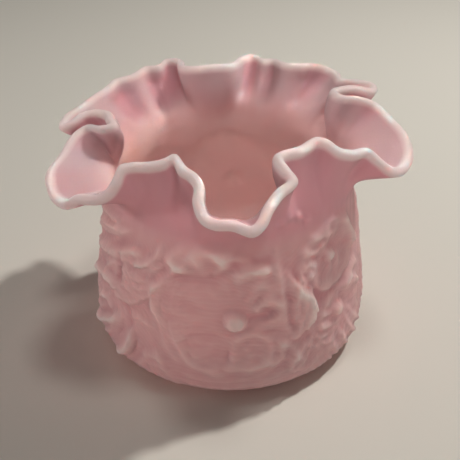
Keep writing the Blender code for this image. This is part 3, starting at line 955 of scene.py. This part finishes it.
# %% Store them on the vase
names = "raised", "fold_shade", "lines", "cut", "edge", "inside_glow", "lip", "shoulder_shade"
for name, values in zip(names, (raised, fold_shade, lines, cut, edge, inside_glow, lip, shoulder_shade)):
    layer = vase.data.attributes.new(name, "FLOAT", "POINT")
    layer.data.foreach_set("value", values.astype(np.float32))
print("attributes:", vase.data.attributes.keys())

# %% Weld and smooth
WELD = 0.00001
deselect_everything()
vase.select_set(True)
bpy.context.view_layer.objects.active = vase
bpy.ops.object.mode_set(mode="EDIT")
bpy.ops.mesh.select_all(action="SELECT")
bpy.ops.mesh.remove_doubles(threshold=WELD)
bpy.ops.mesh.normals_make_consistent(inside=False)
bpy.ops.object.mode_set(mode="OBJECT")
bpy.ops.object.shade_smooth()
vase.data.calc_loop_triangles()
print("vase:", len(vase.data.loop_triangles), "triangles")

# %% [markdown]
# ## The satin finish
#
# Acid-etched glass has no sharp gloss: light goes a little way in and comes out pink all round. Clear rough
# glass alone would be slow and grainy to render, and plain paint would look like plaster. Here nearly half of
# the light may pass, and most of the rest is scattered under a rough surface, which gives a soft, waxy look.
# The colour also carries painted light. A painted highlight makes the high parts and the rim's thin edge
# paler, and a painted glow makes the inside paler. Painted shade makes the furrows, the shoulder under the
# collar and the hollows of the folds deeper pink, and a painted sheen makes the lip greyer. Faint clouds, the
# cutter's fine lines with a painted highlight along them, and the grain of the etching break the colour up.

# %% Colours of the glass
# Painted shade in the furrows and a painted highlight on the crests, set by the raised values.
FURROW_PAINTED_SHADE = (0.66, 0.33, 0.36, 1)
HIGH_PAINTED_HIGHLIGHT = (0.93, 0.68, 0.66, 1)
CREST_PAINTED_HIGHLIGHT = (1.0, 0.84, 0.80, 1)
CLOUD_PINK = (0.83, 0.53, 0.53, 1)
# Paler along the cutter's fine lines: a painted highlight.
LINE_PAINTED_HIGHLIGHT = (1.0, 0.80, 0.77, 1)
# Each attribute tints what is under it. Every tint is painted light: a glow inside, shade on the shoulder,
# sheen on the lip, shade in the hollows and a highlight on the rim's edge.
TINTS = (
    ("inside_glow", (0.93, 0.66, 0.63, 1)),
    ("shoulder_shade", (0.78, 0.43, 0.475, 1)),
    ("lip", (0.69, 0.505, 0.515, 1)),
    ("fold_shade", (0.66, 0.34, 0.38, 1)),
    ("edge", (0.96, 0.82, 0.80, 1)),
)
# Millimetres of lift from one fine line to the next.
LINE_SPACING = 0.75
BUMP_HEIGHT = 0.0003
print("tints:", [name for name, _ in TINTS])


# %% Helpers for the nodes
def add_attribute(nodes, name):
    """Reads one of the values kept on the vase."""
    node = nodes.new("ShaderNodeAttribute")
    node.attribute_name = name
    return node.outputs["Fac"]


def add_noise(nodes, links, scale, detail):
    """A cloudy pattern that stays put on the glass, because it reads Object coordinates."""
    place = nodes.new("ShaderNodeTexCoord")
    node = nodes.new("ShaderNodeTexNoise")
    node.inputs["Scale"].default_value = scale
    node.inputs["Detail"].default_value = detail
    links.new(place.outputs["Object"], node.inputs["Vector"])
    return node.outputs["Fac"]


def add_range(nodes, links, value, before, after):
    """Turns values between the two in before into values between the two in after."""
    node = nodes.new("ShaderNodeMapRange")
    for socket, number in zip(("From Min", "From Max", "To Min", "To Max"), before + after):
        node.inputs[socket].default_value = number
    links.new(value, node.inputs["Value"])
    return node.outputs["Result"]


def add_maths(nodes, links, operation, value):
    """A maths node on a value. The caller sets its second number."""
    node = nodes.new("ShaderNodeMath")
    node.operation = operation
    links.new(value, node.inputs[0])
    return node


def add_tint(nodes, links, share, under, tint):
    """Lays a colour over another, as far as the share says."""
    node = nodes.new("ShaderNodeMix")
    node.data_type = "RGBA"
    node.inputs[7].default_value = tint
    links.new(share, node.inputs[0])
    links.new(under, node.inputs[6])
    return node.outputs[2]


def add_bump(nodes, links, height, strength):
    node = nodes.new("ShaderNodeBump")
    node.inputs["Strength"].default_value = strength
    node.inputs["Distance"].default_value = BUMP_HEIGHT
    links.new(height, node.inputs["Height"])
    return node


# %% From painted shade in the furrows to a painted highlight on the crests
def relief_painted_shading(nodes, links):
    """Painted shade, deep pink, in the furrows and a painted highlight, paler, on what stands out."""
    node = nodes.new("ShaderNodeValToRGB")
    furrow, high = node.color_ramp.elements
    furrow.position = 0.1
    furrow.color = FURROW_PAINTED_SHADE
    high.position = 0.8
    high.color = HIGH_PAINTED_HIGHLIGHT
    node.color_ramp.elements.new(1.0).color = CREST_PAINTED_HIGHLIGHT
    links.new(add_attribute(nodes, "raised"), node.inputs["Fac"])
    return node.outputs["Color"]


# %% The cutter's lines
def cut_lines(nodes, links):
    """A fine wave over the values kept as lines, as deep as the cut says."""
    place = add_maths(nodes, links, "MULTIPLY", add_attribute(nodes, "lines"))
    place.inputs[1].default_value = 2 * math.pi / LINE_SPACING
    wave = add_maths(nodes, links, "SINE", place.outputs[0])
    shown = add_maths(nodes, links, "MULTIPLY", wave.outputs[0])
    links.new(add_attribute(nodes, "cut"), shown.inputs[1])
    return shown.outputs[0]


# %% Satin glass
def satin_glass():
    material = bpy.data.materials.new("satin_glass")
    material.use_nodes = True
    nodes, links = material.node_tree.nodes, material.node_tree.links
    shader = nodes["Principled BSDF"]
    shader.inputs["IOR"].default_value = 1.45
    shader.inputs["Transmission Weight"].default_value = 0.45
    shader.inputs["Subsurface Weight"].default_value = 0.75
    shader.inputs["Subsurface Radius"].default_value = (1.0, 0.7, 0.65)
    shader.inputs["Subsurface Scale"].default_value = 0.003

    cloud = add_noise(nodes, links, 28, 3)
    cloud_share = add_range(nodes, links, cloud, (0.4, 0.7), (0.0, 0.35))
    # Painted highlight on the crests and painted shade in the furrows, under the random clouds.
    colour = add_tint(nodes, links, cloud_share, relief_painted_shading(nodes, links), CLOUD_PINK)
    wave = cut_lines(nodes, links)
    # Paler stripes along the cutter's lines: a painted highlight, besides the lines' real bump.
    line_highlight_share = add_range(nodes, links, wave, (-0.2, 1.0), (0.0, 0.10))
    colour = add_tint(nodes, links, line_highlight_share, colour, LINE_PAINTED_HIGHLIGHT)
    # The attributes' tints: painted glow, painted shade, painted sheen and a painted highlight.
    for mask, tint in TINTS:
        colour = add_tint(nodes, links, add_attribute(nodes, mask), colour, tint)
    links.new(colour, shader.inputs["Base Color"])

    roughness = add_range(nodes, links, cloud, (0.0, 1.0), (0.62, 0.80))
    links.new(roughness, shader.inputs["Roughness"])

    grain_bump = add_bump(nodes, links, add_noise(nodes, links, 900, 2), 0.125)
    line_bump = add_bump(nodes, links, wave, 0.2)
    links.new(grain_bump.outputs["Normal"], line_bump.inputs["Normal"])
    links.new(line_bump.outputs["Normal"], shader.inputs["Normal"])
    return material


# %% Give the vase its finish
vase.data.materials.append(satin_glass())
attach(vase, "root")
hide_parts("glass_vase")
print("finish:", [material.name for material in vase.data.materials])

# %% [markdown]
# ## The floor
#
# The vase stands on a wide, pale, matt floor. It lies 0.3 mm under the flat foot, so that the two faces don't
# show through each other.

# %% Floor
FLOOR_SIZE = 60
FLOOR_GAP = 0.0003
deselect_everything()
bpy.ops.mesh.primitive_plane_add(size=FLOOR_SIZE, location=(0, 0, -FLOOR_GAP))
ground = bpy.context.object
ground.name = "floor"
floor_material = bpy.data.materials.new("pale_floor")
floor_material.use_nodes = True
floor_shader = floor_material.node_tree.nodes["Principled BSDF"]
floor_shader.inputs["Base Color"].default_value = (0.80, 0.77, 0.70, 1)
floor_shader.inputs["Roughness"].default_value = 0.9
ground.data.materials.append(floor_material)
ground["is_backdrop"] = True
print("floor:", FLOOR_SIZE, "m wide")

# %% [markdown]
# ## The light
#
# A small light high behind the vase on the right throws its shadow toward the front left, and a larger one
# nearly overhead softens it. A dim, even surround fills the rest. Satin glass also glows with light that went
# through several walls, which takes many samples to render. Three hooded lights stand in for that glow, and
# light linking keeps them off the floor.

# %% Light helpers
def hang_light(data, place, aim):
    """Puts a light at a place and turns it to a point."""
    light = bpy.data.objects.new(data.name, data)
    bpy.context.scene.collection.objects.link(light)
    light.location = place
    light.rotation_euler = (Vector(place) - Vector(aim)).to_track_quat("Z", "Y").to_euler()
    return light


def soft_light(name, size, power, colour, place):
    """A square lamp that lights everything, aimed at the middle of the vase."""
    data = bpy.data.lights.new(name, "AREA")
    data.size = size
    data.energy = power
    data.color = colour
    return hang_light(data, place, (0, 0, 0.05))


def narrow_light(name, power, cone, size, place, aim):
    """A lamp with a hood. It reaches the vase only."""
    data = bpy.data.lights.new(name, "SPOT")
    data.energy = power
    data.color = (1.0, 0.96, 0.94)
    data.spot_size = math.radians(cone)
    data.spot_blend = 0.6
    data.shadow_soft_size = size
    light = hang_light(data, place, aim)
    light.light_linking.receiver_collection = glow_catchers
    return light


# %% Lights that everything catches
soft_light("key_light", 0.07, 8.2, (1.0, 0.97, 0.92), (0.65, 0.39, 1.07))
soft_light("top_light", 0.20, 2.2, (1.0, 0.95, 0.90), (0.14, 0.02, 1.25))
print("lights:", [light.name for light in bpy.data.lights])

# %% Lights that only the vase catches
glow_catchers = bpy.data.collections.new("glow_catchers")
glow_catchers.objects.link(vase)
narrow_light("left_light", 12.5, 32, 0.08, (-0.98, -0.08, 0.28), (0, 0, 0.055))
narrow_light("front_light", 8.3, 32, 0.08, (0.34, -0.96, 0.30), (0, 0, 0.055))
narrow_light("mouth_light", 9.5, 11.5, 0.06, (0.06, -0.55, 0.78), (0.01, 0.025, 0.09))

# %% Surround
world = bpy.data.worlds.new("surround")
world.use_nodes = True
world.node_tree.nodes["Background"].inputs["Color"].default_value = (1.0, 0.97, 0.93, 1)
world.node_tree.nodes["Background"].inputs["Strength"].default_value = 0.125
bpy.context.scene.world = world
bpy.context.scene.view_settings.view_transform = "Standard"
print("surround:", world.name)

# %% The size of the finished vase
low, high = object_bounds()
print("vase box in mm:", [round(1000 * side, 1) for side in high - low])
